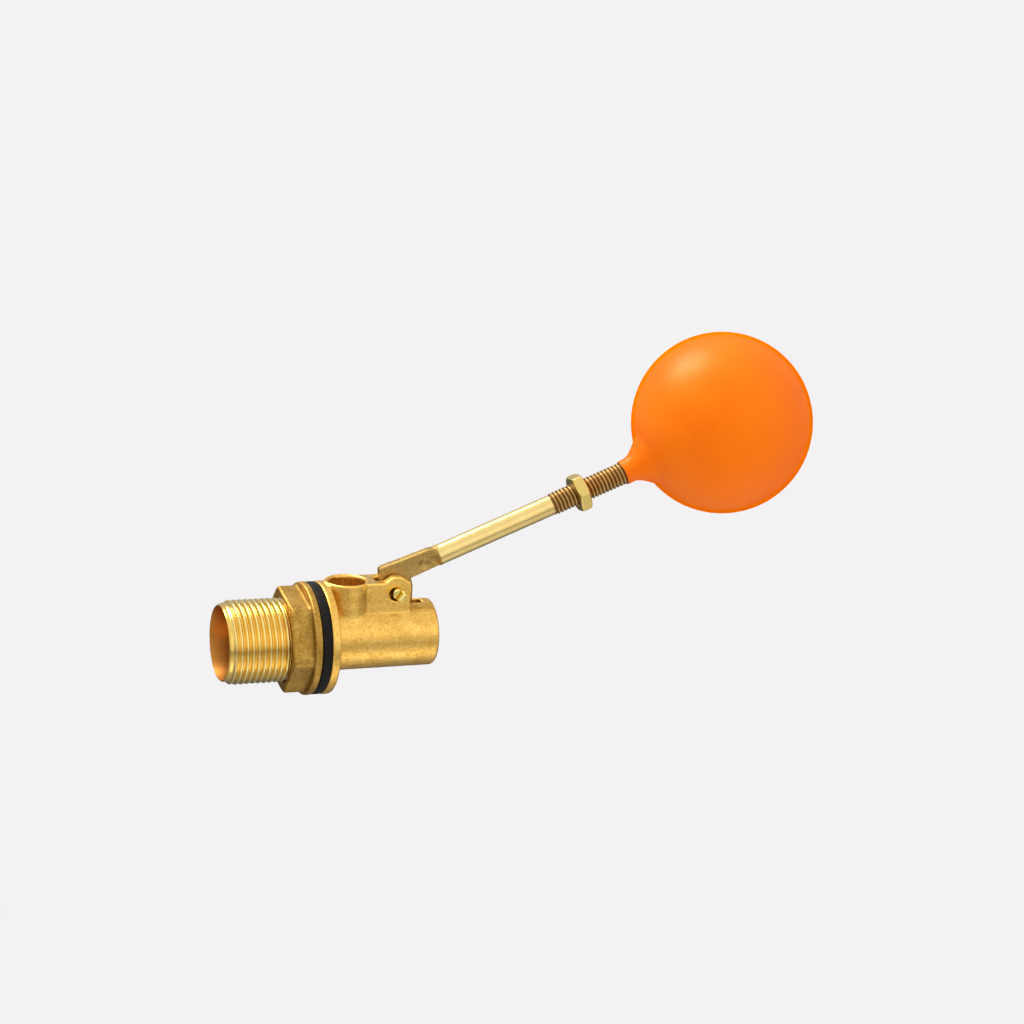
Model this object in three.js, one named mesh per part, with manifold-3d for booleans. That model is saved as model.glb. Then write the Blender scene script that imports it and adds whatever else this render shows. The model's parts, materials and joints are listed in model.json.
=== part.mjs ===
// Float valve: a brass valve body that clamps in a tank wall, with a lever that carries a float ball
// and works a sliding piston against a seat. Millimetres, +Z up. The origin is on the axis of the
// threaded shank, at the face of the body flange that the gasket bears on. +X runs from the shank
// towards the piston's end of the body, and the lever, the hinge and the outlet are on the +Z side.
import * as THREE from 'three';
import { mergeVertices } from 'three/addons/utils/BufferGeometryUtils.js';
import Module from 'manifold-3d';

const wasm = await Module();
wasm.setup();

// Shank: G1 parallel pipe thread, drawn as rings.
const SHANK_END = -39.5;
const SHANK_R = 16.625;
const SHANK_ROOT_R = 15.15;
const SHANK_PITCH = 2.309;
const INLET_R = 13;
const INLET_MOUTH_R = 14.6;
const INLET_DEPTH_X = -3;

// Body: flange, cylinder, outlet boss, two cheeks and the slot between them.
const FLANGE_R = 22.4;
const FLANGE_T = 3.5;
const CYL_R = 13.35;
const CYL_END = 47.1;
const PISTON_BORE_R = 10.4;
const SEAT_WALL_X = 2;
const SEAT_HOLE_R = 5.8;
const BOSS_X = 11.6;
const BOSS_R = 9.1;
const BOSS_ROOT_R = 10.2;
const BOSS_TOP = 23.35;
const OUTLET_R = 7.3;
const CHEEK_Y = 7.3;
const CHEEK_END = 36;
const CHEEK_TOP = 23.1;
const SLOT_Y = 2.6;
const SLOT_X0 = 22.9;
const SLOT_X1 = 42.7;

// Hinge: a split pin through both cheeks.
const PIN_X = 30.4;
const PIN_Z = 18.7;
const PIN_R = 2.05;
const PIN_HOLE_R = 2.6;
const EAR_X = 30.6;
const EAR_Z = 19.6;
const EAR_R = 5.6;

// Backnut and gasket.
const NUT_X0 = -15;
const NUT_X1 = -6.9;
const NUT_FLANGE_X = -3.9;
const NUT_FLATS = 37.4;
const NUT_CORNER_R = 21.3;
const NUT_BORE_R = 16.85;
const NUT_TURN = THREE.MathUtils.degToRad(-19);
const GASKET_X0 = -3.7;
const GASKET_X1 = -0.2;
const GASKET_R = 22.2;

// Seat and piston.
const SEAT_X0 = -3.4;
const SEAT_LIP_X = 4.9;
const SEAT_R = 5.6;
const SEAT_BORE_R = 4;
const PISTON_R = 10.25;
const PISTON_END = 45.6;
const CAP_X0 = 4.1;
const CAP_X1 = 12;

// Lever: a plate with a tail that works the piston, and a round rod with a threaded end.
const PLATE_Y = 1.8;
const TAIL_REACH = 14.3;
const TAIL_ANGLE = THREE.MathUtils.degToRad(8);
const TAIL_TIP_R = 3;
const TAIL_NECK = 2;
const ROD_ANGLE = THREE.MathUtils.degToRad(21.6);
const ROD_START = [50.65, 31.98];
const ROD_R = 4.15;
const THREAD_R = 4.6;
const THREAD_ROOT_R = 4.05;
const THREAD_PITCH = 1.5875;
const THREAD_FROM = 48.9;
const ROD_LENGTH = 96;

// Locknut and float, placed by their distance along the rod.
const LOCKNUT_AT = 62.1;
const LOCKNUT_T = 4.8;
const LOCKNUT_FLATS = 14.1;
const LOCKNUT_TURN = -0.12;
const LOCKNUT_BORE_R = 4.9;
const FLOAT_NECK_AT = 82;
const FLOAT_TILT = THREE.MathUtils.degToRad(3.29);
const FLOAT_R = 37.15;
const FLOAT_WALL = 1.6;
const FLOAT_CENTRE = 46.8;
const NECK_R = 5.2;
const NECK_BORE_R = 4.75;

const clean = (geometry) => {
  geometry.deleteAttribute('normal');
  geometry.deleteAttribute('uv');
  const merged = mergeVertices(geometry, 1e-4);
  const index = merged.index.array;
  const kept = [];
  for (let i = 0; i < index.length; i += 3) {
    const [a, b, c] = [index[i], index[i + 1], index[i + 2]];
    if (a !== b && b !== c && c !== a) kept.push(a, b, c);
  }
  merged.setIndex(kept);
  return merged;
};

const signedVolume = (geometry) => {
  const [a, b, c] = [new THREE.Vector3(), new THREE.Vector3(), new THREE.Vector3()];
  const { index, attributes } = geometry;
  let total = 0;
  for (let i = 0; i < index.count; i += 3) {
    a.fromBufferAttribute(attributes.position, index.getX(i));
    b.fromBufferAttribute(attributes.position, index.getX(i + 1));
    c.fromBufferAttribute(attributes.position, index.getX(i + 2));
    total += a.dot(b.cross(c)) / 6;
  }
  return total;
};

// A three.js geometry as a solid, with its faces turned outwards.
const solid = (geometry) => {
  const shape = clean(geometry);
  const tris = Uint32Array.from(shape.index.array);
  if (signedVolume(shape) < 0) {
    for (let i = 0; i < tris.length; i += 3) [tris[i], tris[i + 1]] = [tris[i + 1], tris[i]];
  }
  const vertProperties = Float32Array.from(shape.attributes.position.array);
  return new wasm.Manifold(new wasm.Mesh({ numProp: 3, vertProperties, triVerts: tris }));
};

const toGeometry = (shape) => {
  const mesh = shape.getMesh();
  const geometry = new THREE.BufferGeometry();
  geometry.setAttribute('position', new THREE.BufferAttribute(Float32Array.from(mesh.vertProperties), 3));
  geometry.setIndex(Array.from(mesh.triVerts));
  geometry.computeVertexNormals();
  return geometry;
};

// A profile of [x, radius] pairs turned about the X axis.
const turned = (profile, segments) => {
  const points = profile.map(([x, r]) => new THREE.Vector2(r, x));
  return new THREE.LatheGeometry(points, segments).rotateZ(-Math.PI / 2);
};
const turnedSolid = (profile, segments = 48) => solid(turned(profile, segments));

// A profile of [z, radius] pairs turned about the vertical axis of the outlet.
const upright = (profile, segments) => {
  const points = profile.map(([z, r]) => new THREE.Vector2(r, z));
  return solid(new THREE.LatheGeometry(points, segments).rotateX(Math.PI / 2).translate(BOSS_X, 0, 0));
};

const plainCylinder = (r, x0, x1, segments = 48) =>
  turnedSolid([[x0, 0], [x0, r], [x1, r], [x1, 0]], segments);

// An outline in the XZ plane, given depth from y = -half to y = half.
const slab = (shape, half, curveSegments = 8) => {
  const geometry = new THREE.ExtrudeGeometry(shape, { depth: 2 * half, bevelEnabled: false, curveSegments });
  return solid(geometry.translate(0, 0, -half).rotateX(Math.PI / 2));
};

const box = (x0, x1, y0, y1, z0, z1) =>
  solid(new THREE.BoxGeometry(x1 - x0, y1 - y0, z1 - z0)
    .translate((x0 + x1) / 2, (y0 + y1) / 2, (z0 + z1) / 2));

// A cylinder along Y about the hinge line.
const hingeRod = (r, y0, y1, segments = 24) =>
  solid(new THREE.CylinderGeometry(r, r, y1 - y0, segments).translate(PIN_X, (y0 + y1) / 2, PIN_Z));

// Rings from x0 to x1 that stand for a thread; both ends are at the root.
const threadRings = (x0, x1, pitch, root, crest) => {
  const count = Math.floor((x1 - x0) / pitch);
  const points = [];
  for (let i = 0; i < count; i++) {
    points.push([x0 + i * pitch, root], [x0 + (i + 0.5) * pitch, crest]);
  }
  points.push([x0 + count * pitch, root]);
  return points;
};

const cheekOutline = () => {
  const shape = new THREE.Shape();
  shape.moveTo(BOSS_X, 4);
  shape.lineTo(CHEEK_END, 4);
  shape.lineTo(CHEEK_END, EAR_Z + 1.4);
  shape.absarc(EAR_X, EAR_Z, EAR_R, 0.25, 2.08, false);
  shape.lineTo(EAR_X - 4.2, CHEEK_TOP);
  shape.lineTo(BOSS_X + 6.6, CHEEK_TOP);
  shape.lineTo(BOSS_X + 5.6, CHEEK_TOP - 0.8);
  shape.lineTo(BOSS_X, CHEEK_TOP - 0.8);
  shape.closePath();
  return shape;
};

const bodyCasting = () => {
  const start = SHANK_END + 1.3;
  const outer = turnedSolid([
    [SHANK_END, 0], [SHANK_END, SHANK_ROOT_R - 0.1],
    ...threadRings(start, -1.2, SHANK_PITCH, SHANK_ROOT_R, SHANK_R),
    [0, SHANK_ROOT_R], [0, FLANGE_R - 0.4], [0.4, FLANGE_R], [FLANGE_T - 0.8, FLANGE_R],
    [FLANGE_T, FLANGE_R - 0.9], [FLANGE_T + 0.7, CYL_R + 2.2], [FLANGE_T + 2.4, CYL_R + 0.4],
    [FLANGE_T + 4.5, CYL_R], [CYL_END - 1, CYL_R], [CYL_END, CYL_R - 1], [CYL_END, 0],
  ], 36);
  const boss = upright([
    [0, 0], [0, BOSS_ROOT_R], [BOSS_TOP - 0.7, BOSS_R], [BOSS_TOP, BOSS_R - 0.6], [BOSS_TOP, 0],
  ], 40);
  return outer.add(boss).add(slab(cheekOutline(), CHEEK_Y));
};

const valveBody = () => {
  const inlet = turnedSolid([
    [SHANK_END - 1, 0], [SHANK_END - 1, INLET_MOUTH_R], [SHANK_END, INLET_MOUTH_R],
    [SHANK_END + 2.2, INLET_R], [INLET_DEPTH_X, INLET_R], [INLET_DEPTH_X, 0],
  ], 40);
  const chamber = plainCylinder(PISTON_BORE_R, SEAT_WALL_X, CYL_END + 1, 40);
  const seatHole = plainCylinder(SEAT_HOLE_R, INLET_DEPTH_X - 1, SEAT_WALL_X + 1, 32);
  const outlet = upright([
    [2, 0], [2, OUTLET_R], [BOSS_TOP - 0.4, OUTLET_R], [BOSS_TOP, OUTLET_R + 0.4],
    [BOSS_TOP + 3, OUTLET_R + 0.4], [BOSS_TOP + 3, 0],
  ], 40);
  return bodyCasting()
    .subtract(inlet).subtract(chamber).subtract(seatHole).subtract(outlet)
    .subtract(box(SLOT_X0, SLOT_X1, -SLOT_Y, SLOT_Y, 2, 40))
    .subtract(hingeRod(PIN_HOLE_R, -20, 20));
};

// The seat is a turned bush pressed into the wall between the inlet and the chamber.
const seatNozzle = () => turnedSolid([
  [SEAT_X0, SEAT_BORE_R], [SEAT_X0, SEAT_R], [SEAT_LIP_X - 0.4, SEAT_R], [SEAT_LIP_X, SEAT_R - 0.5],
  [SEAT_LIP_X, SEAT_BORE_R], [SEAT_X0, SEAT_BORE_R],
], 32);

const hexShape = (flats) => {
  const corner = flats / 2 / Math.cos(Math.PI / 6);
  const points = [];
  for (let i = 0; i < 6; i++) {
    const angle = (i + 0.5) * Math.PI / 3;
    points.push(new THREE.Vector2(corner * Math.cos(angle), corner * Math.sin(angle)));
  }
  return new THREE.Shape(points);
};

// A hexagon prism along X from x0 to x1, turned about X.
const hexPrism = (flats, x0, x1, turn) => {
  const geometry = new THREE.ExtrudeGeometry(hexShape(flats), { depth: x1 - x0, bevelEnabled: false });
  return solid(geometry.rotateZ(turn).rotateX(Math.PI / 2).rotateZ(Math.PI / 2).translate(x0, 0, 0));
};

const backnut = () => {
  const flange = turnedSolid([
    [NUT_X1 - 0.4, 0], [NUT_X1 - 0.4, 20.4], [NUT_X1 + 0.5, FLANGE_R - 0.6], [NUT_X1 + 1, FLANGE_R],
    [NUT_FLANGE_X - 0.5, FLANGE_R], [NUT_FLANGE_X, FLANGE_R - 0.5], [NUT_FLANGE_X, 0],
  ], 40);
  const faced = turnedSolid([
    [NUT_X0, 0], [NUT_X0, 18.6], [NUT_X0 + 1, NUT_CORNER_R], [NUT_X1 + 1, NUT_CORNER_R], [NUT_X1 + 1, 0],
  ], 40);
  return hexPrism(NUT_FLATS, NUT_X0 - 1, NUT_X1 + 0.5, NUT_TURN)
    .intersect(faced).add(flange)
    .subtract(plainCylinder(NUT_BORE_R, NUT_X0 - 2, 0, 40));
};

const wallGasket = () => turnedSolid([
  [GASKET_X0, NUT_BORE_R], [GASKET_X0, GASKET_R - 0.4], [GASKET_X0 + 0.5, GASKET_R],
  [GASKET_X1 - 0.5, GASKET_R], [GASKET_X1, GASKET_R - 0.4], [GASKET_X1, NUT_BORE_R],
  [GASKET_X0, NUT_BORE_R],
], 40);

// The piston slides in the chamber; the pocket in its top takes the tail of the lever.
const piston = () => {
  const pocketX = PIN_X - TAIL_REACH * Math.sin(TAIL_ANGLE);
  const half = TAIL_TIP_R + 0.3;
  return turnedSolid([
    [8.8, 0], [8.8, 6.9], [12.3, 6.9], [12.3, PISTON_R - 0.6], [12.9, PISTON_R],
    [PISTON_END - 0.8, PISTON_R], [PISTON_END, PISTON_R - 0.8], [PISTON_END, 0],
  ], 40)
    .subtract(box(pocketX - half, pocketX + half, -SLOT_Y, SLOT_Y, 0.9, 12))
    .subtract(plainCylinder(7.6, PISTON_END - 9, PISTON_END + 1, 32));
};

// The cap screws on the piston's nose and holds the washer.
const pistonCap = () => turnedSolid([
  [CAP_X0, 6], [CAP_X0, 8.6], [CAP_X0 + 0.5, 9.1], [CAP_X1, 9.1], [CAP_X1, 7.15],
  [CAP_X0 + 0.9, 7.15], [CAP_X0 + 0.9, 6], [CAP_X0, 6],
], 32);

const seatWasher = () => plainCylinder(6.9, SEAT_LIP_X + 0.25, 8.6, 32);

// A split pin: a round shank, an eye at the back and two legs spread at the front.
const splitPin = () => {
  const shank = hingeRod(PIN_R, -8.6, 8.9);
  const eye = solid(new THREE.TorusGeometry(2.4, 1.05, 8, 16).rotateY(Math.PI / 2)
    .translate(PIN_X, 8.9 + 2.1, PIN_Z));
  const legs = [-1, 1].map((side) => {
    const leg = new THREE.CapsuleGeometry(0.95, 3, 3, 10).rotateX(side * 0.5)
      .rotateY(0.9).translate(PIN_X, -9.2, PIN_Z);
    return solid(leg.translate(side * 0.55, 0, -side * 0.55));
  });
  return shank.add(eye).add(legs[0]).add(legs[1]);
};

const alongRod = (distance, offset = 0) => [
  ROD_START[0] + distance * Math.cos(ROD_ANGLE) - offset * Math.sin(ROD_ANGLE),
  ROD_START[1] + distance * Math.sin(ROD_ANGLE) + offset * Math.cos(ROD_ANGLE),
];

// The plate is the flattened end of the rod, with a hub that hangs between the cheeks.
const plateOutline = () => {
  const shape = new THREE.Shape();
  shape.moveTo(24.7, 27);
  shape.lineTo(25.3, 27.8);
  shape.lineTo(33.6, 30.5);
  shape.lineTo(...alongRod(-5, 4.6));
  shape.lineTo(...alongRod(-2.6, 4));
  shape.lineTo(...alongRod(-2.6, -3.9));
  shape.lineTo(40.6, 24.1);
  shape.lineTo(37.9, 22.9);
  shape.lineTo(38.5, 21);
  shape.lineTo(38.8, 19);
  shape.lineTo(38.8, 14);
  shape.lineTo(37.4, 12.6);
  shape.lineTo(26.6, 12.6);
  shape.lineTo(24.6, 15.5);
  shape.closePath();
  return shape;
};

// The tail narrows to pass into the piston and ends in a round tip.
const leverTail = () => {
  const tip = [PIN_X - TAIL_REACH * Math.sin(TAIL_ANGLE), PIN_Z - TAIL_REACH * Math.cos(TAIL_ANGLE)];
  const neck = new THREE.BoxGeometry(2 * TAIL_NECK, 2 * PLATE_Y, TAIL_REACH)
    .translate(0, 0, -TAIL_REACH / 2).rotateY(TAIL_ANGLE).translate(PIN_X, 0, PIN_Z);
  const end = new THREE.CylinderGeometry(TAIL_TIP_R, TAIL_TIP_R, 2 * PLATE_Y, 24)
    .translate(tip[0], 0, tip[1]);
  return solid(neck).add(solid(end));
};

const leverRod = () => {
  const rings = threadRings(THREAD_FROM, ROD_LENGTH - 1, THREAD_PITCH, THREAD_ROOT_R, THREAD_R);
  const geometry = turned([
    [-6.4, 0], [-3.2, ROD_R], [THREAD_FROM - 0.6, ROD_R], ...rings,
    [ROD_LENGTH, THREAD_ROOT_R - 0.4], [ROD_LENGTH, 0],
  ], 14);
  return solid(geometry.rotateY(-ROD_ANGLE).translate(ROD_START[0], 0, ROD_START[1]));
};

const leverArm = () => slab(plateOutline(), PLATE_Y)
  .add(leverTail()).add(leverRod())
  .subtract(hingeRod(PIN_R + 0.1, -20, 20));

const locknut = () => {
  const corner = LOCKNUT_FLATS / 2 / Math.cos(Math.PI / 6);
  const [x0, x1] = [LOCKNUT_AT - LOCKNUT_T / 2, LOCKNUT_AT + LOCKNUT_T / 2];
  const faced = turnedSolid([
    [x0, 0], [x0, corner - 1.3], [x0 + 0.8, corner], [x1 - 0.8, corner], [x1, corner - 1.3], [x1, 0],
  ], 32);
  return hexPrism(LOCKNUT_FLATS, x0 - 1, x1 + 1, LOCKNUT_TURN).intersect(faced)
    .subtract(plainCylinder(LOCKNUT_BORE_R, x0 - 2, x1 + 2, 20));
};

// The float in its own frame: the neck starts at x = 0 and the ball is centred on the X axis.
// Its bore follows the rod, which is a little out of line with the ball.
const floatBall = () => {
  const arc = (r, from, to, steps) => {
    const points = [];
    for (let i = 0; i <= steps; i++) {
      const a = from + (to - from) * i / steps;
      points.push([FLOAT_CENTRE - r * Math.cos(a), r * Math.sin(a)]);
    }
    return points;
  };
  const inner = FLOAT_R - FLOAT_WALL;
  const outside = turnedSolid([
    [0, 0], [0, NECK_R], [3, NECK_R + 0.1], [5.4, 7], [8.2, 9.4],
    ...arc(FLOAT_R, Math.asin(12 / FLOAT_R), Math.PI, 17),
  ], 28);
  const hollow = turnedSolid(arc(inner, 0, Math.PI, 13), 28);
  const bore = solid(turned([[-1, 0], [-1, NECK_BORE_R], [16, NECK_BORE_R], [16, 0]], 28)
    .rotateY(FLOAT_TILT));
  return outside.subtract(hollow).subtract(bore);
};

const meshes = [];
const piece = (name, shape, color, roughness, metalness, place) => {
  const geometry = toGeometry(shape);
  const mesh = new THREE.Mesh(geometry, new THREE.MeshStandardMaterial({ color, roughness, metalness }));
  mesh.name = name;
  if (place) place(mesh);
  meshes.push(mesh);
};

const onRod = (mesh) => {
  mesh.position.set(ROD_START[0], 0, ROD_START[1]);
  mesh.rotation.y = -ROD_ANGLE;
};

const onNeck = (mesh) => {
  const [x, z] = alongRod(FLOAT_NECK_AT);
  mesh.position.set(x, 0, z);
  mesh.rotation.y = -ROD_ANGLE - FLOAT_TILT;
};

piece('valve_body', valveBody(), 0xc89b46, 0.38, 0.9);
piece('seat_nozzle', seatNozzle(), 0xf1efe6, 0.5, 0);
piece('backnut', backnut(), 0xb38a40, 0.45, 0.9);
piece('wall_gasket', wallGasket(), 0x15181a, 0.7, 0);
piece('piston', piston(), 0xc9a24f, 0.35, 0.9);
piece('piston_cap', pistonCap(), 0xcda552, 0.35, 0.9);
piece('seat_washer', seatWasher(), 0x1b1c1e, 0.8, 0);
piece('split_pin', splitPin(), 0xe8cf6a, 0.3, 0.9);
piece('lever_arm', leverArm(), 0xc7a558, 0.35, 0.9);
piece('locknut', locknut(), 0xe6ca68, 0.3, 0.9, onRod);
piece('float_ball', floatBall(), 0xf56a04, 0.35, 0, onNeck);

const floatValve = new THREE.Group();
floatValve.add(...meshes);

export default floatValve;
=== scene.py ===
import json
import math

import bpy
import numpy as np
from mathutils import Matrix, Vector


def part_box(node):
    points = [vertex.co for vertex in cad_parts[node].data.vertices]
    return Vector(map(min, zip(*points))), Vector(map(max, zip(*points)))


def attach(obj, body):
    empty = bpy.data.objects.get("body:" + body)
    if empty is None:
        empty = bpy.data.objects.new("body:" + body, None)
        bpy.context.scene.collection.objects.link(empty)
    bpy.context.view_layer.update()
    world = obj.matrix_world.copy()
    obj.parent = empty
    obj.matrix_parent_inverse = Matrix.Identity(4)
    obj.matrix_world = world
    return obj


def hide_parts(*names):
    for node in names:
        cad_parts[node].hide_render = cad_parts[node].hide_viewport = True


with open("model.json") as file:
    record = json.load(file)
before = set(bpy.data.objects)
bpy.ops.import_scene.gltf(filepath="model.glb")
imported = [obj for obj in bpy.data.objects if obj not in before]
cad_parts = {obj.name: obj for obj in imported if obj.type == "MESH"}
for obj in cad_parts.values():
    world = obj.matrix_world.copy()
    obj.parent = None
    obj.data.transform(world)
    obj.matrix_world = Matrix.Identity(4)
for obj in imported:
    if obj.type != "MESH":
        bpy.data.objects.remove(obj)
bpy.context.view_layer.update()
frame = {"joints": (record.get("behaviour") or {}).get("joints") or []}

MM = 0.001

# ------------------------------------------------------------------ driving sizes, in millimetres
def mm(metres):
    """A length of the frame in millimetres, without its rounding noise."""
    return round(metres / MM, 2)


JOINTS = {joint["name"]: joint for joint in frame["joints"]}
BODY_LO, BODY_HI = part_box("valve_body")
BACKNUT_LO, BACKNUT_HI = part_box("backnut")
PISTON_LO, PISTON_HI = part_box("piston")
LOCKNUT_LO, LOCKNUT_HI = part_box("locknut")

PIN = (mm(JOINTS["lever_pivot"]["pos_m"][0]), mm(JOINTS["lever_pivot"]["pos_m"][2]))
PIN_R = 2.2
SHANK_END = mm(BODY_LO.x)
FLANGE_R = mm(BODY_HI.y)
BOSS_X = 11.6
BOSS_TOP = 23.0
BARREL_END = mm(BODY_HI.x)
BACKNUT_FACE = mm(BACKNUT_LO.x)
BACKNUT_END = mm(BACKNUT_HI.x)
PISTON_NOSE = mm(PISTON_LO.x)
PISTON_END = mm(PISTON_HI.x)
PISTON_R = mm(PISTON_HI.y)
SEAT_R = 5.6
SEAT_BORE_R = 4
SLOT_HALF = 2.6
TAIL_REACH = 14.3
TAIL_ANGLE = math.radians(8)
TAIL = (PIN[0] - TAIL_REACH * math.sin(TAIL_ANGLE), PIN[1] - TAIL_REACH * math.cos(TAIL_ANGLE))
ROD_WAY = JOINTS["locknut_travel"]["axis"]
ROD_SLOPE = math.radians(round(math.degrees(math.atan2(ROD_WAY[2], ROD_WAY[0])), 2))
LOCKNUT_AT = 62.1  # from the rod's start, along it
ROD_START = (mm((LOCKNUT_LO.x + LOCKNUT_HI.x) / 2 - LOCKNUT_AT * MM * math.cos(ROD_SLOPE)),
             mm((LOCKNUT_LO.z + LOCKNUT_HI.z) / 2 - LOCKNUT_AT * MM * math.sin(ROD_SLOPE)))
ROD_HEIGHT = ROD_START[1] * math.cos(ROD_SLOPE) - ROD_START[0] * math.sin(ROD_SLOPE)
ROD_R = 4.12
ROD_THREAD_ROOT = 4.05
ROD_THREAD_BORE = 4.62
NECK_AT = 82.0
FLOAT_TILT = math.radians(3.29)
BALL_AT = 46.8
BALL_R = mm(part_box("float_ball")[1].y) - 0.01  # a hair inside the CAD ball
TINY = 0.02  # stands for zero at the tip of a turned piece


# ------------------------------------------------------------------ distances
def capped(side, end, r):
    """A solid from its side and end distances, with the rim rounded to radius r."""
    a, b = side + r, end + r
    return np.minimum(np.maximum(a, b), 0) + np.hypot(np.maximum(a, 0), np.maximum(b, 0)) - r


def join(a, b, k):
    """Two solids as one, blended over a width k."""
    h = np.clip(0.5 + 0.5 * (b - a) / k, 0, 1)
    return b * (1 - h) + a * h - k * h * (1 - h)


def cut(a, b, k=0.25):
    """The solid a without b, its new edge softened over k."""
    return -join(-a, b, k)


def both(a, b, k=0.25):
    """What a and b share."""
    return -join(-a, -b, k)


def span(v, lo, hi):
    """A slab from lo to hi."""
    return np.abs(v - (lo + hi) / 2) - (hi - lo) / 2


def hexagon(u, w, turn, half_flats, soft):
    """A turned hexagon, half_flats from its middle to each flat."""
    r = np.hypot(u, w)
    t = np.arctan2(w, u) - turn
    along_u, along_w = r * np.cos(t), r * np.sin(t)
    d = np.full(u.shape, -1e9)
    for k in range(3):
        c, s = math.cos(k * math.pi / 3), math.sin(k * math.pi / 3)
        d = both(d, np.abs(along_u * c + along_w * s) - half_flats, soft)
    return d


def polygon(px, py, pts):
    """Signed distance to a closed outline in a plane."""
    pts = np.asarray(pts, float)
    d = np.full(px.shape, 1e18)
    inside = np.zeros(px.shape, bool)
    for (ax, ay), (bx, by) in zip(pts, np.roll(pts, -1, 0)):
        ex, ey, wx, wy = bx - ax, by - ay, px - ax, py - ay
        t = np.clip((wx * ex + wy * ey) / (ex * ex + ey * ey), 0, 1)
        d = np.minimum(d, (wx - t * ex) ** 2 + (wy - t * ey) ** 2)
        if ey:
            hit = ((ay <= py) != (by <= py)) & (px < ax + (py - ay) * ex / ey)
            inside ^= hit
    d = np.sqrt(d)
    return np.where(inside, -d, d)


def rod_frame(x, z):
    """Distance along the rod and height above its line."""
    dx, dz = x - ROD_START[0], z - ROD_START[1]
    c, s = math.cos(ROD_SLOPE), math.sin(ROD_SLOPE)
    return dx * c + dz * s, -dx * s + dz * c


def along(a, b=0.0):
    """The x and z of a point a along the rod and b above its line."""
    c, s = math.cos(ROD_SLOPE), math.sin(ROD_SLOPE)
    return ROD_START[0] + a * c - b * s, ROD_START[1] + a * s + b * c


def on_ball(azimuth, elevation):
    """A point on the ball in a direction from its centre; azimuth 0 is -Y."""
    neck_x, neck_z = along(NECK_AT)
    slope = ROD_SLOPE + FLOAT_TILT
    level = BALL_R * math.cos(elevation)
    x = neck_x + BALL_AT * math.cos(slope) + level * math.sin(azimuth)
    z = neck_z + BALL_AT * math.sin(slope) + BALL_R * math.sin(elevation)
    return x, -level * math.cos(azimuth), z


# ------------------------------------------------------------------ meshes
def surface(f, lo, hi, h):
    """The zero surface of f as quads, from cells of size h in the box from lo to hi."""
    n = [int(math.ceil((b - a) / h)) + 1 for a, b in zip(lo, hi)]
    ax = [lo[i] + h * np.arange(n[i]) for i in range(3)]
    v = np.empty(n, np.float32)
    step = max(1, int(400000 / (n[1] * n[2])))
    for i in range(0, n[0], step):
        x, y, z = np.meshgrid(ax[0][i:i + step], ax[1], ax[2], indexing="ij")
        v[i:i + step] = f(x, y, z)
    neg = v < 0
    m = [k - 1 for k in n]
    corners = [(a, b, c) for a in (0, 1) for b in (0, 1) for c in (0, 1)]
    count = sum(neg[a:a + m[0], b:b + m[1], c:c + m[2]].astype(np.int8) for a, b, c in corners)
    cells = np.argwhere((count > 0) & (count < 8))
    index = np.full(m, -1, np.int64)
    index[tuple(cells.T)] = np.arange(len(cells))
    vals = {k: v[cells[:, 0] + k[0], cells[:, 1] + k[1], cells[:, 2] + k[2]] for k in corners}
    total = np.zeros((len(cells), 3))
    hits = np.zeros(len(cells))
    for p in corners:
        for axis in range(3):
            if p[axis]:
                continue
            q = tuple(1 if i == axis else p[i] for i in range(3))
            a, b = vals[p], vals[q]
            on = (a < 0) != (b < 0)
            t = np.where(on, a / np.where(on, a - b, 1), 0)
            where = np.array(p)[None] + t[:, None] * (np.arange(3) == axis)[None]
            total += np.where(on[:, None], where, 0)
            hits += on
    pts = np.array(lo) + h * (cells + total / hits[:, None])
    quads = []
    for axis in range(3):
        u, w = [i for i in range(3) if i != axis]
        size = list(n)
        size[axis] -= 1
        a = neg[tuple(slice(0, size[i]) for i in range(3))]
        b = neg[tuple(slice(1, n[i]) if i == axis else slice(0, n[i]) for i in range(3))]
        e = np.argwhere(a != b)
        e = e[(e[:, u] > 0) & (e[:, w] > 0) & (e[:, u] < m[u]) & (e[:, w] < m[w])]
        du, dw = np.eye(3, dtype=int)[u], np.eye(3, dtype=int)[w]
        q = np.stack([index[tuple((e - s).T)] for s in (0 * du, du, du + dw, dw)], 1)
        flip = a[tuple(e.T)] ^ (axis == 1)
        quads.append(np.where(flip[:, None], q[:, ::-1], q))
    eps = 0.02
    for _ in range(3):  # each pass moves the points nearer to the true surface
        d = f(*pts.T)
        g = np.stack([f(*(pts + eps * np.eye(3)[i]).T) - d for i in range(3)], 1) / eps
        move = d[:, None] * g / np.maximum((g * g).sum(1), 0.2)[:, None]
        pts -= np.clip(move, -0.4 * h, 0.4 * h)
    return pts, np.concatenate(quads)


def rings(profile, steps, place=None):
    """A closed ring of profile points turned about X; place(a, r, t) gives x, y, z."""
    place = place or (lambda a, r, t: (a, r * np.cos(t), r * np.sin(t)))
    p = np.array(profile, float)
    t = np.linspace(0, 2 * math.pi, steps, endpoint=False)
    a, tt = np.meshgrid(p[:, 0], t, indexing="ij")
    r = np.repeat(p[:, 1:2], steps, 1)
    pts = np.stack(place(a, r, tt), -1).reshape(-1, 3)
    return pts, weave(len(p), steps)


def weave(rows, cols):
    """Quads over a grid of points that closes on itself both ways."""
    i = np.arange(rows)[:, None]
    j = np.arange(cols)[None]
    i2, j2 = (i + 1) % rows, (j + 1) % cols
    q = np.stack([i * cols + j, i2 * cols + j, i2 * cols + j2, i * cols + j2], -1)
    return q.reshape(-1, 4)


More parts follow.
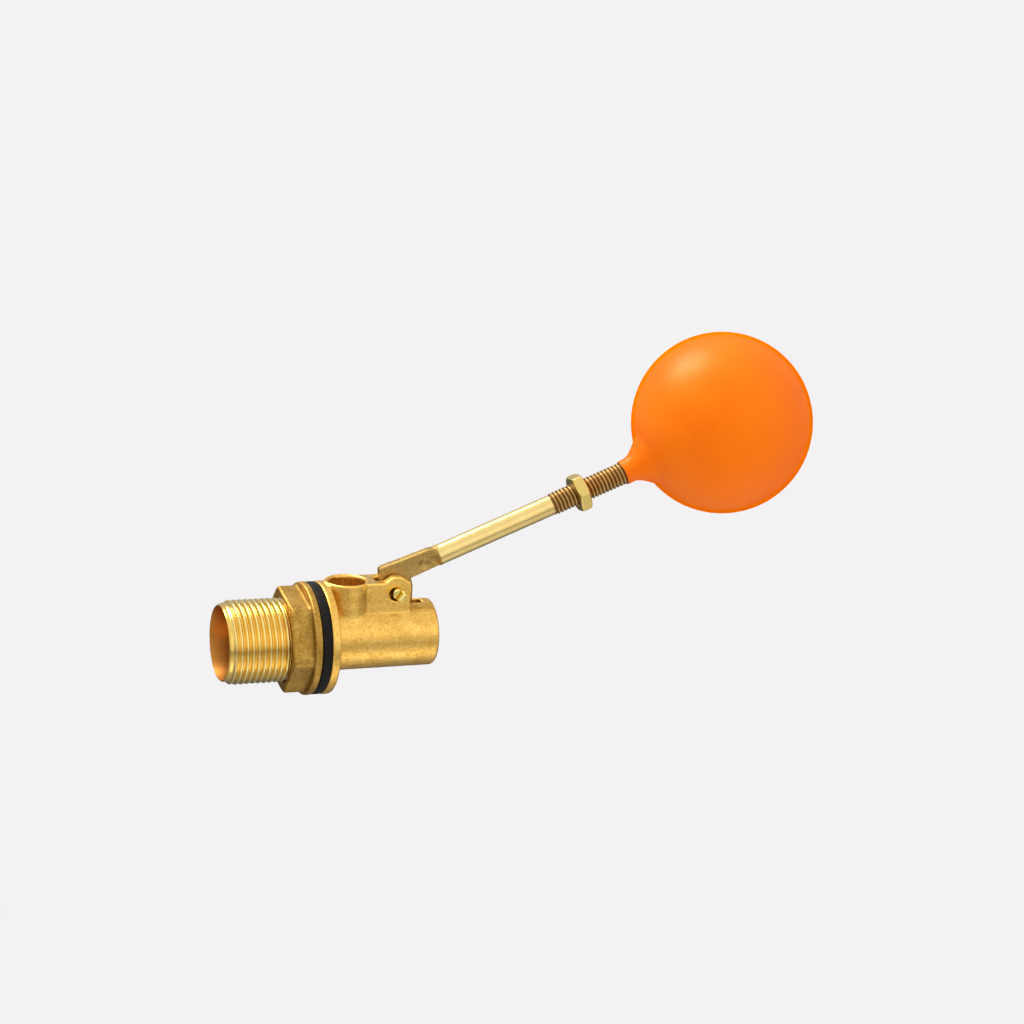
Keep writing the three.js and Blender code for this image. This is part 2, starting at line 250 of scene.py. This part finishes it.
def rounded(points, r, steps=4):
    """A closed profile with its corners rounded; a point may give its own radius."""
    out = []
    n = len(points)
    for i in range(n):
        p = np.array(points[i][:2], float)
        rr = points[i][2] if len(points[i]) > 2 else r
        a, b = np.array(points[i - 1][:2], float), np.array(points[(i + 1) % n][:2], float)
        u, w = a - p, b - p
        lu, lw = np.linalg.norm(u), np.linalg.norm(w)
        k = min(rr, 0.45 * lu, 0.45 * lw)
        if k < 1e-4:
            out.append(tuple(p))
            continue
        s, e = p + u / lu * k, p + w / lw * k
        for j in range(steps + 1):
            t = j / steps
            out.append(tuple((1 - t) ** 2 * s + 2 * t * (1 - t) * p + t * t * e))
    return out


def make(name, shape, body, nodes, material, sharp=40):
    """One piece of the model, riding a body in place of CAD nodes; sharp 0 keeps every edge smooth."""
    pts, quads = shape
    me = bpy.data.meshes.new(name)
    me.vertices.add(len(pts))
    me.vertices.foreach_set("co", (np.asarray(pts) * MM).astype(np.float32).ravel())
    me.loops.add(quads.size)
    me.loops.foreach_set("vertex_index", quads.astype(np.int32).ravel())
    me.polygons.add(len(quads))
    me.polygons.foreach_set("loop_start", np.arange(0, quads.size, 4, dtype=np.int32))
    me.update(calc_edges=True)
    vol = sum(volume(np.asarray(pts), quads[:, k]) for k in ([0, 1, 2], [0, 2, 3]))
    if vol < 0:
        me.flip_normals()
    me.validate()
    me.shade_smooth()
    if sharp:
        me.set_sharp_from_angle(angle=math.radians(sharp))
    o = bpy.data.objects.new(name, me)
    bpy.context.scene.collection.objects.link(o)
    me.materials.append(material)
    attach(o, body)
    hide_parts(*nodes)


def volume(p, tri):
    """The volume inside a closed mesh; less than zero when it is inside out."""
    a, b, c = p[tri[:, 0]], p[tri[:, 1]], p[tri[:, 2]]
    return (a * np.cross(b, c)).sum() / 6


# ------------------------------------------------------------------ materials
class Nodes:
    """Short names for building a node material, or the world."""

    def __init__(self, name, kind="materials", shader="Principled BSDF", coord="Object"):
        self.owner = getattr(bpy.data, kind).new(name)
        self.owner.use_nodes = True
        self.tree = self.owner.node_tree
        self.bsdf = self.tree.nodes[shader]
        self.coord = self.tree.nodes.new("ShaderNodeTexCoord").outputs[coord]

    def node(self, kind, **values):
        n = self.tree.nodes.new("ShaderNode" + kind)
        for k, v in values.items():
            if k in n.bl_rna.properties:
                setattr(n, k, v)
            else:
                self.put(n.inputs[k.replace("_", " ")], v)
        return n

    def put(self, socket, v):
        if isinstance(v, bpy.types.NodeSocket):
            self.tree.links.new(v, socket)
        else:
            socket.default_value = v

    def mapped(self, scale=(1, 1, 1), rotation=(0, 0, 0)):
        n = self.node("Mapping", Vector=self.coord)
        n.inputs["Scale"].default_value = scale
        n.inputs["Rotation"].default_value = rotation
        return n.outputs["Vector"]

    def noise(self, size_mm, detail=4, rough=0.5, vector=None, **more):
        n = self.node("TexNoise", Vector=vector or self.coord, Scale=1000 / size_mm, Detail=detail,
                      Roughness=rough, **more)
        return n.outputs["Fac"]

    def ramp(self, value, stops):
        n = self.node("ValToRGB", Fac=value)
        e = n.color_ramp.elements
        while len(e) < len(stops):
            e.new(0.5)
        for item, (pos, col) in zip(e, stops):
            item.position = pos
            item.color = (*col, 1) if len(col) == 3 else col
        return n.outputs["Color"]

    def remap(self, value, lo, hi, a=0.0, b=1.0):
        n = self.node("MapRange", Value=value)
        for k, v in zip(("From Min", "From Max", "To Min", "To Max"), (a, b, lo, hi)):
            n.inputs[k].default_value = v
        return n.outputs["Result"]

    def math(self, op, a, b=0.0):
        n = self.node("Math", operation=op)
        self.put(n.inputs[0], a)
        self.put(n.inputs[1], b)
        return n.outputs[0]

    def mix(self, fac, a, b):
        n = self.node("Mix", data_type="RGBA")
        self.put(n.inputs[0], fac)
        self.put(n.inputs[6], a if isinstance(a, bpy.types.NodeSocket) else (*a, 1))
        self.put(n.inputs[7], b if isinstance(b, bpy.types.NodeSocket) else (*b, 1))
        return n.outputs[2]

    def bump(self, height, strength, distance_mm, normal=None):
        n = self.node("Bump", Height=height, Strength=strength, Distance=distance_mm * MM)
        if normal:
            self.tree.links.new(normal, n.inputs["Normal"])
        return n.outputs["Normal"]

    def outward(self, near_mm, far_mm, angle=0.0, height_mm=0.0):
        """0 to 1 by distance from X, or from a line turned about Y and raised."""
        n = self.node("Mapping", Vector=self.coord)
        n.inputs["Rotation"].default_value = (0, angle, 0)
        n.inputs["Location"].default_value = (0, 0, -height_mm * MM)
        across = self.node("VectorMath", operation="MULTIPLY")
        self.put(across.inputs[0], n.outputs["Vector"])
        across.inputs[1].default_value = (0, 1, 1)
        length = self.node("VectorMath", operation="LENGTH")
        self.put(length.inputs[0], across.outputs["Vector"])
        return self.remap(length.outputs["Value"], 0.0, 1.0, near_mm * MM, far_mm * MM)

    def paint_hollow_shade_edge_light(self, colour, hollow_shade=0.45, edge_light=1.3):
        """A colour with painted shade in hollows, lightened on edges by wear and a painted highlight."""
        point = self.node("NewGeometry").outputs["Pointiness"]
        # painted shade where pointiness is low, painted highlight and wear where it is high
        levels = [(0.44, hollow_shade), (0.495, 1.0), (0.505, 1.0), (0.56, edge_light)]
        shade = self.ramp(point, [(at, (v, v, v)) for at, v in levels])
        n = self.node("Mix", data_type="RGBA", blend_type="MULTIPLY")
        self.put(n.inputs[0], 1.0)
        self.put(n.inputs[6], colour)
        self.put(n.inputs[7], shade)
        return n.outputs[2]

    def set(self, **values):
        for k, v in values.items():
            self.put(self.bsdf.inputs[k.replace("_", " ")], v)
        return self.owner


def cast_brass(name, dark, mid, light, rough, grain=1.0):
    """Sand-cast brass: pitted, mottled, with painted shade in its hollows and a painted highlight on its
    edges.
    """
    m = Nodes(name)
    broad = m.noise(7, 3, 0.6)
    fine = m.noise(0.9, 5, 0.65)
    tone = m.math("ADD", m.math("MULTIPLY", broad, 0.35), m.math("MULTIPLY", fine, 0.65))
    colour = m.ramp(tone, [(0.34, dark), (0.50, mid), (0.66, light)])
    pits = m.noise(0.55, 3, 0.6)
    skin = m.bump(pits, 0.55 * grain, 0.10)
    skin = m.bump(m.noise(2.6, 3, 0.55), 0.6 * grain, 0.22, skin)
    # the colour takes painted shade in the hollows and a painted highlight, with wear, on the edges
    return m.set(Base_Color=m.paint_hollow_shade_edge_light(colour), Metallic=1.0,
                 Roughness=m.remap(m.noise(3.2, 4, 0.6), rough - 0.07, rough + 0.12, 0.3, 0.7), Normal=skin)


def turned_brass(name, dark, light, rough, stretch=(1, 0.02, 0.02), rotation=(0, 0, 0), lines=0.35):
    """Machined brass, with fine tool marks stretched along a direction."""
    m = Nodes(name)
    marks = m.noise(0.5, 3, 0.6, m.mapped(stretch, rotation))
    tint = m.noise(5, 4, 0.6)
    tone = m.math("ADD", m.math("MULTIPLY", tint, 0.7), m.math("MULTIPLY", marks, 0.3))
    colour = m.mix(tone, dark, light)
    return m.set(Base_Color=colour, Metallic=1.0,
                 Roughness=m.remap(marks, rough - 0.06, rough + 0.08, 0.3, 0.7),
                 Normal=m.bump(marks, lines, 0.04))


def threaded_brass(name, inner, root, crest, rough, near_mm, far_mm, angle=0.0, height_mm=0.0):
    """Brass with painted shade in the roots of a thread, and a duller tone with painted shade inside its
    bore.
    """
    m = Nodes(name)
    tint = m.noise(4, 4, 0.6)
    root_shade_fade = m.outward(near_mm, far_mm, angle, height_mm)
    inside = m.outward(near_mm - 0.3, near_mm - 0.2, angle, height_mm)
    # painted shade: the root colour darkens the thread's roots, fading outwards to the crest colour
    metal = m.mix(m.math("MULTIPLY", root_shade_fade, m.remap(tint, 0.75, 1.1, 0.3, 0.7)), root, crest)
    fine = m.bump(m.noise(0.6, 3, 0.6), 0.12, 0.04)
    # painted shade: the inner colour darkens the bore
    return m.set(Base_Color=m.mix(inside, inner, metal), Metallic=1.0,
                 Roughness=m.remap(inside, 0.42, rough), Normal=fine)


def rubber(name):
    """Black rubber with a little dust."""
    m = Nodes(name)
    dust = m.noise(2.4, 5, 0.7)
    colour = m.ramp(dust, [(0.35, (0.003, 0.002, 0.001)), (0.6, (0.005, 0.004, 0.002)),
                           (0.8, (0.014, 0.013, 0.009))])
    skin = m.bump(m.noise(0.35, 3, 0.6), 0.35, 0.05)
    return m.set(Base_Color=colour, Roughness=m.remap(dust, 0.5, 0.68, 0.3, 0.7), Normal=skin,
                 Specular_IOR_Level=0.2)


def float_plastic(name):
    """Matt orange, with a less glossy rim and one faint round mould mark."""
    m = Nodes(name)
    cloud = m.noise(24, 3, 0.5)
    colour = m.ramp(cloud, [(0.35, (0.94, 0.155, 0.0)), (0.6, (0.96, 0.175, 0.0)),
                            (0.8, (0.98, 0.195, 0.0))])
    mark = on_ball(math.radians(-42), math.radians(8))
    mark_r, edge = 8.0, 0.5
    away = m.node("VectorMath", operation="DISTANCE")
    m.put(away.inputs[0], m.coord)
    away.inputs[1].default_value = [v * MM for v in mark]
    ring = m.node("MapRange", interpolation_type="SMOOTHSTEP", Value=away.outputs["Value"])
    ring.inputs["From Min"].default_value = (mark_r - edge) * MM
    ring.inputs["From Max"].default_value = (mark_r + edge) * MM
    skin = m.bump(m.noise(9, 2, 0.5), 0.1, 0.25)
    skin = m.bump(m.noise(0.5, 3, 0.6), 0.06, 0.02, skin)
    skin = m.bump(ring.outputs["Result"], 0.35, 0.12, skin)
    facing = m.node("LayerWeight").outputs["Facing"]
    return m.set(Base_Color=colour, Normal=skin,
                 Roughness=m.remap(m.noise(4, 3, 0.5), 0.36, 0.44, 0.3, 0.7),
                 Specular_IOR_Level=m.remap(facing, 0.5, 0.0, 0.25, 0.75),
                 Specular_Tint=(1.0, 0.74, 0.2, 1))


def seat_plastic(name):
    """Off-white moulded plastic."""
    m = Nodes(name)
    tint = m.mix(m.noise(3, 3, 0.5), (0.78, 0.76, 0.70), (0.88, 0.87, 0.82))
    return m.set(Base_Color=tint, Roughness=m.remap(m.noise(1.5), 0.4, 0.55, 0.3, 0.7),
                 Normal=m.bump(m.noise(0.8), 0.1, 0.05), Subsurface_Weight=0.1, Subsurface_Scale=0.5)


BODY = cast_brass("body_brass", (0.60, 0.31, 0.05), (0.80, 0.475, 0.10), (0.92, 0.61, 0.17), 0.34)
NUT = cast_brass("nut_look", (0.30, 0.155, 0.03), (0.46, 0.265, 0.05), (0.60, 0.39, 0.10), 0.48, 1.3)
# Threaded brass colours: painted shade in the bore, painted shade in the thread roots, then the crest
SHANK = threaded_brass("shank_brass", (0.56, 0.24, 0.045), (0.76, 0.47, 0.09), (0.98, 0.79, 0.33), 0.22,
                       15.0, 16.4)
TURNED = turned_brass("piston_brass", (0.62, 0.38, 0.09), (0.85, 0.60, 0.20), 0.28)
LEVER = cast_brass("plate_brass", (0.34, 0.19, 0.05), (0.48, 0.30, 0.085), (0.62, 0.42, 0.15), 0.40, 0.9)
ROD = turned_brass("rod_brass", (0.68, 0.47, 0.14), (0.90, 0.70, 0.30), 0.27, (0.03, 1.2, 1.2),
                   (0, ROD_SLOPE, 0), 0.22)
# the first two colours are painted shade, inside and in the roots of the rod thread
THREAD = threaded_brass("rod_thread_brass", (0.3, 0.15, 0.04), (0.16, 0.065, 0.015), (0.66, 0.42, 0.14),
                        0.32, ROD_THREAD_ROOT, 4.55, ROD_SLOPE, ROD_HEIGHT)
LOCKNUT = turned_brass("locknut_brass", (0.66, 0.46, 0.12), (0.84, 0.64, 0.22), 0.27)
PIN_BRASS = turned_brass("pin_brass_look", (0.85, 0.64, 0.14), (0.98, 0.84, 0.34), 0.2, (1, 1, 1),
                         lines=0.1)
GASKET = rubber("gasket_look")
WASHER = rubber("washer_look")
FLOAT = float_plastic("float_look")
SEAT = seat_plastic("seat_look")


# ------------------------------------------------------------------ valve body
def body_distance(x, y, z):
    barrel_r, boss_r, cheek_half, ear, ear_r = 13.35, 9.0, 6.95, (30.6, 19.6), 5.6
    chamber_r, chamber_x, outlet_r = 10.4, 2, 7.4
    draft = (BOSS_TOP - z) * 0.08
    slant = 0.997  # keeps distances true on the sides that slope with the draft
    r = np.hypot(y, z)
    from_boss = np.hypot(x - BOSS_X, y)
    flange = capped(r - FLANGE_R, span(x, 0, 3.5), 0.7)
    d = join(flange, capped(r - barrel_r, span(x, -3, BARREL_END), 1.2), 3.4)
    d = join(d, capped((from_boss - (boss_r + draft)) * slant, span(z, 0, BOSS_TOP), 0.55), 1.2)
    block = capped(span(x, 17.8, 36), span(z, 4, BOSS_TOP - 0.1), 0.5)
    outline = join(block, np.hypot(x - ear[0], z - ear[1]) - ear_r, 1.0)
    d = join(d, capped(outline, (np.abs(y) - cheek_half - draft) * slant, 0.4), 0.6)
    d = cut(d, both(r - chamber_r - np.maximum(x - 46.5, 0), chamber_x - x, 0.3))
    d = cut(d, both(r - SEAT_R - 0.2, span(x, -6, 4)))
    d = cut(d, both(from_boss - outlet_r - 0.5 * np.maximum(z - 22.2, 0), 2 - z), 0.5)
    slot = capped(span(x, 22.9, 42.7), span(z, 2, 40), 0.8)
    d = cut(d, both(np.abs(y) - SLOT_HALF, slot), 0.35)
    return cut(d, np.hypot(x - PIN[0] + 0.42, z - PIN[1] + 0.38) - 2.72)


make("body_casting", surface(body_distance, (-3.8, -23.2, -23.2), (48, 23.2, 26.2), 0.42),
     "valve", ["valve_body"], BODY, 0)


def thread_radius(x, turn, x0, x1, pitch, root, crest):
    """Radius of a helical thread, running out at both ends."""
    phase = np.mod((x - pitch * turn) / pitch, 1.0)
    ridge = np.clip((1 - np.abs(2 * phase - 1) - 0.12) / 0.76, 0, 1)
    ridge = ridge * ridge * (3 - 2 * ridge) * 0.5 + ridge * 0.5
    ends = np.clip(np.minimum(x - x0, x1 - x) / pitch, 0, 1)
    return root + (crest - root) * ridge * ends


def shank():
    end, root, crest, pitch = SHANK_END, 15.25, 16.62, 2.309
    outer = [(x, crest) for x in np.linspace(end + 0.6, -0.4, 340)]
    bore = rounded([(0.2, 14.7), (0.2, 13.0), (end + 9, 13.0, 4), (end, 14.55), (end, 14.9)], 0.12)

    def place(a, r, t):
        cone = 15.0 + (a - end) * 0.8
        thread = thread_radius(a, t / (2 * math.pi), end + 1.2, -1.4, pitch, root, crest)
        r = np.where(r == crest, np.minimum(thread, cone), r)
        return a, r * np.cos(t), r * np.sin(t)

    return rings(outer + bore, 192, place)


make("threaded_shank", shank(), "valve", ["valve_body"], SHANK, 0)


# ------------------------------------------------------------------ backnut and gasket
def nut_distance(x, y, z):
    half_flats, bore_r = 18.7, 16.75
    r = np.hypot(y, z)
    d = capped(hexagon(-y, z, math.radians(19), half_flats, 2.0), span(x, BACKNUT_FACE, -5), 0.9)
    d = both(d, r - 20.6 - (x - BACKNUT_FACE) * 0.9, 0.8)
    d = join(d, capped(r - FLANGE_R, span(x, -6.8, BACKNUT_END), 0.7), 1.3)
    return cut(d, r - bore_r, 0.5)


make("backnut_casting", surface(nut_distance, (-15.6, -23.2, -23.2), (-3.3, 23.2, 23.2), 0.38),
     "backnut", ["backnut"], NUT, 0)
gasket = rounded([(-3.75, 16.9), (-3.75, FLANGE_R - 0.1), (-0.1, FLANGE_R - 0.1), (-0.1, 16.9)], 0.7)
make("rubber_gasket", rings(gasket, 160), "valve", ["wall_gasket"], GASKET)


# ------------------------------------------------------------------ lever
def lever_distance(x, y, z):
    a, b = rod_frame(x, z)
    plate_half, corner = 1.8, 0.4
    outline = [(24.7, 14.9), (24.6, 27), (25.3, 27.9), (33.6, 30.6), along(-5, 4.5), along(-1, 3.6),
               along(-1, -3.6), (43, 25.0), (37.9, 22.9), (38.7, 20.2), (38.8, 14), (37.4, 12.6),
               (26.6, 12.6)]
    ex, ez = PIN[0] - TAIL[0], PIN[1] - TAIL[1]
    t = np.clip(((x - TAIL[0]) * ex + (z - TAIL[1]) * ez) / (ex * ex + ez * ez), 0, 1)
    neck = np.hypot(x - TAIL[0] - t * ex, z - TAIL[1] - t * ez) - 1.7
    flat = join(polygon(x, z, outline) + corner, neck, 1.0)
    flat = join(flat, np.hypot(x - TAIL[0], z - TAIL[1]) - 2.6, 0.8)
    plate = capped(flat - corner, np.abs(y) - plate_half, 0.55)
    shoulder_r = ROD_R - 0.08
    cone = np.minimum(shoulder_r, shoulder_r + (a + 1.8) * 0.75)
    shoulder = both(np.hypot(y, b) - cone, span(a, -6, 4), 0.4) * 0.8
    d = join(plate, shoulder, 0.9)
    across = np.abs(y) - 2.2
    scoop = np.sqrt(((a + 8.2) / 2.2) ** 2 + ((b + 0.4) / 2.0) ** 2 + (across / 1.3) ** 2) - 1
    d = cut(d, scoop, 0.4)
    return cut(d, np.hypot(x - PIN[0], z - PIN[1]) - PIN_R - 0.1)


make("lever_plate", surface(lever_distance, (20, -5, 0.6), (58, 5, 41), 0.3),
     "arm", ["lever_arm"], LEVER, 0)


def about_rod(start=0.0, tilt=0.0):
    """Places a turned profile about the rod's line."""
    ox, oz = along(start)
    c, s = math.cos(ROD_SLOPE + tilt), math.sin(ROD_SLOPE + tilt)

    def place(a, r, t):
        b = r * np.sin(t)
        return ox + a * c - b * s, r * np.cos(t), oz + a * s + b * c

    return place


def rod_thread():
    first, last, crest, pitch = 48.7, 94.5, 4.6, 1.5875
    ridge = [(a, crest) for a in np.linspace(first, last, 420)]
    on_rod = about_rod()

    def place(a, r, t):
        thread = thread_radius(a, t / (2 * math.pi), first + 0.2, last + 0.5, pitch, ROD_THREAD_ROOT, crest)
        return on_rod(a, np.where(r == crest, thread, r), t)

    return rings([(first, TINY)] + ridge + [(last, TINY)], 72, place)


bar = [(-1.5, TINY), (-1.5, ROD_R), (49.2, ROD_R), (49.3, TINY)]
make("float_rod", rings(bar, 64, about_rod()), "arm", ["lever_arm"], ROD)
make("rod_thread", rod_thread(), "arm", ["lever_arm"], THREAD, 60)


# ------------------------------------------------------------------ locknut
def locknut_distance(x, y, z):
    a, b = rod_frame(x, z)
    half_deep, half_flats = 2.4, 7.02
    r = np.hypot(y, b)
    off = np.abs(a - LOCKNUT_AT)
    d = capped(hexagon(y, b, math.pi / 6 - 0.12, half_flats, 0.35), off - half_deep, 0.25)
    d = both(d, (r - 7.0 - (half_deep - off) * 1.5) * 0.55, 0.3)
    return cut(d, r - ROD_THREAD_BORE - np.maximum(off - 2.0, 0), 0.2)


nut_x, nut_z = along(LOCKNUT_AT)
nut_lo, nut_hi = (nut_x - 6.5, -9, nut_z - 9.5), (nut_x + 6.5, 9, nut_z + 9.5)
make("hex_locknut", surface(locknut_distance, nut_lo, nut_hi, 0.24),
     "locknut", ["locknut"], LOCKNUT, 0)


# ------------------------------------------------------------------ float
def float_shell():
    """The flaring neck, the ball from where the neck meets it, and the threaded hole."""
    neck_meets_r = 12.4
    first = math.asin(neck_meets_r / BALL_R)
    neck = [(0.15, 4.72), (0.0, 4.82), (0.08, 4.93), (0.5, 5.02), (1.6, 5.04), (3.0, 5.1), (4.2, 5.35),
            (5.4, 5.85), (6.8, 6.75), (8.4, 8.0), (10.0, 9.4), (11.4, 10.8)]
    ball = []
    for q in np.linspace(first, math.pi, 91):
        ball.append((BALL_AT - BALL_R * math.cos(q), max(BALL_R * math.sin(q), TINY)))
    bore = [(14.0, TINY), (14.0, ROD_THREAD_BORE), (0.6, ROD_THREAD_BORE)]
    return rings(neck + ball + bore, 128, about_rod(NECK_AT, FLOAT_TILT))


make("float_shell", float_shell(), "float", ["float_ball"], FLOAT, 60)


# ------------------------------------------------------------------ split pin
def pin_distance(x, y, z):
    ux, uz = 0.8, -0.6  # the way the two legs spread
    u = (x - PIN[0]) * ux + (z - PIN[1]) * uz
    w = -(x - PIN[0]) * uz + (z - PIN[1]) * ux
    spread = np.maximum(-8.0 - y, 0)
    d = np.full(x.shape, 1e9)
    for side in (-1, 1):
        bent = side * u - 0.10 * spread ** 2 - 0.05 * spread
        half = both(np.hypot(bent, w) - PIN_R, 0.05 - bent, 0.45)
        end = -11.3 if side < 0 else -10.9
        d = np.minimum(d, capped(half, span(y, end, 9.2), 0.75))
    ring = np.hypot(np.hypot(y - 11.0, u) - 2.3, w) - 1.0
    return join(d, ring, 0.5)


make("cotter_pin", surface(pin_distance, (25.6, -12.2, 13.8), (35.2, 15.2, 23.6), 0.2),
     "valve", ["split_pin"], PIN_BRASS, 0)


# ------------------------------------------------------------------ inside pieces
def piston_distance(x, y, z):
    nose_r, pocket_half = 6.9, 3.3
    r = np.hypot(y, z)
    d = capped(r - PISTON_R, span(x, 12.3, PISTON_END), 0.6)
    d = np.minimum(d, capped(r - nose_r, span(x, PISTON_NOSE, 14), 0.3))
    pocket = capped(span(x, TAIL[0] - pocket_half, TAIL[0] + pocket_half), span(z, 0.9, 30), 0.8)
    d = cut(d, both(np.abs(y) - SLOT_HALF, pocket), 0.3)
    return cut(d, both(r - 7.6, PISTON_END - 9 - x, 0.4))


cap = rounded([(4.1, 6), (4.1, 9.1), (12, 9.1), (12, 7.15), (5, 7.15), (5, 6)], 0.35)
washer = rounded([(5.15, TINY, 0), (5.15, 6.9), (8.6, 6.9), (8.6, TINY, 0)], 0.3)
seat = rounded([(-3.4, SEAT_BORE_R), (-3.4, SEAT_R), (4.4, SEAT_R), (4.9, SEAT_R - 0.5),
                (4.9, SEAT_BORE_R)], 0.15)
make("piston_body", surface(piston_distance, (8.2, -10.9, -10.9), (46.4, 10.9, 10.9), 0.42),
     "piston", ["piston"], TURNED, 0)
make("piston_nose_cap", rings(cap, 96), "piston", ["piston_cap"], TURNED)
make("rubber_washer", rings(washer, 80), "piston", ["seat_washer"], WASHER)
make("seat_bush", rings(seat, 96), "valve", ["seat_nozzle"], SEAT)


# ------------------------------------------------------------------ camera, floor and light
def look(name, data, where, target, roll):
    """Links an object that looks from one place at another, turned by roll degrees."""
    o = bpy.data.objects.new(name, data)
    bpy.context.scene.collection.objects.link(o)
    way = (Vector(target) - Vector(where)).to_track_quat("-Z", "Y").to_matrix().to_4x4()
    o.matrix_world = Matrix.Translation(where) @ way @ Matrix.Rotation(math.radians(roll), 4, "Z")
    return o


CAMERA_AT = (-0.341504, -1.072617, 0.354407)
CAMERA_AIM = (0.082482, 0.00678, 0.04596)
CAMERA_ROLL = 3.247
LENS = 104.776
FLOOR_TONE = 0.555
FLOOR_HALF = 12
FLOOR_Z = -0.3
STRENGTH = 1.25
# Brightness by the height of a direction, from straight down (-1) to straight up (1).
FRONT = [(-1, 0.45), (-0.7, 0.62), (-0.42, 0.6), (-0.24, 0.12), (-0.1, 0.5), (0.1, 0.7), (0.5, 0.8),
         (1, 0.75)]
BACK = [(-1, 0.4), (-0.7, 0.16), (-0.3, 0.08), (-0.05, 0.35), (0.2, 0.45), (0.5, 0.5), (0.8, 0.6),
        (1, 0.75)]
# Each soft lamp: its direction, the angles where it starts and stops fading, and its power.
LAMPS = [((-0.389, 0.459, 0.798), 12, 22, 9.5), ((0.35, -0.9, 0.26), 5, 40, 0.45),
         ((0, -0.15, 1), 5, 40, 0.2), ((0.193, -0.468, -0.861), 4, 24, 1.2)]


def add_camera():
    camera = bpy.data.cameras.new("camera")
    camera.lens = LENS
    camera.sensor_width = 36
    camera.clip_end = 50
    bpy.context.scene.camera = look("camera", camera, CAMERA_AT, CAMERA_AIM, CAMERA_ROLL)


def add_floor():
    """A pale matt sheet that bright metal doesn't mirror."""
    mesh = bpy.data.meshes.new("floor")
    sides = ((-1, -1), (1, -1), (1, 1), (-1, 1))
    mesh.from_pydata([(x * FLOOR_HALF, y * FLOOR_HALF, FLOOR_Z) for x, y in sides], [], [(0, 1, 2, 3)])
    floor = bpy.data.objects.new("floor", mesh)
    bpy.context.scene.collection.objects.link(floor)
    tone = (FLOOR_TONE, FLOOR_TONE * 0.985, FLOOR_TONE * 0.992, 1)
    mesh.materials.append(Nodes("paper").set(Base_Color=tone, Roughness=1.0, Specular_IOR_Level=0.0))
    floor.visible_glossy = False


def studio():
    """A soft room: its brightness by height, in front and behind, and soft lamps in some directions."""
    m = Nodes("studio", "worlds", "Background", "Generated")
    xyz = m.node("SeparateXYZ", Vector=m.coord)
    height = m.remap(xyz.outputs["Z"], 0, 1, -1, 1)
    front = m.ramp(height, [(at / 2 + 0.5, (v, v, v)) for at, v in FRONT])
    back = m.ramp(height, [(at / 2 + 0.5, (v, v, v)) for at, v in BACK])
    light = m.mix(m.remap(xyz.outputs["Y"], 0, 1, -0.35, 0.45), front, back)
    for way, inner, outer, power in LAMPS:
        dot = m.node("VectorMath", operation="DOT_PRODUCT")
        m.put(dot.inputs[0], m.coord)
        dot.inputs[1].default_value = Vector(way).normalized()
        edge = m.node("MapRange", interpolation_type="SMOOTHSTEP", Value=dot.outputs["Value"])
        edge.inputs["From Min"].default_value = math.cos(math.radians(outer))
        edge.inputs["From Max"].default_value = math.cos(math.radians(inner))
        edge.inputs["To Max"].default_value = power / STRENGTH
        add = m.node("VectorMath", operation="ADD")
        m.put(add.inputs[0], light)
        m.put(add.inputs[1], edge.outputs["Result"])
        light = add.outputs["Vector"]
    m.put(m.bsdf.inputs["Color"], light)
    m.put(m.bsdf.inputs["Strength"], STRENGTH)
    return m.owner


add_camera()
add_floor()
bpy.context.scene.world = studio()
bpy.context.scene.view_settings.view_transform = "Standard"
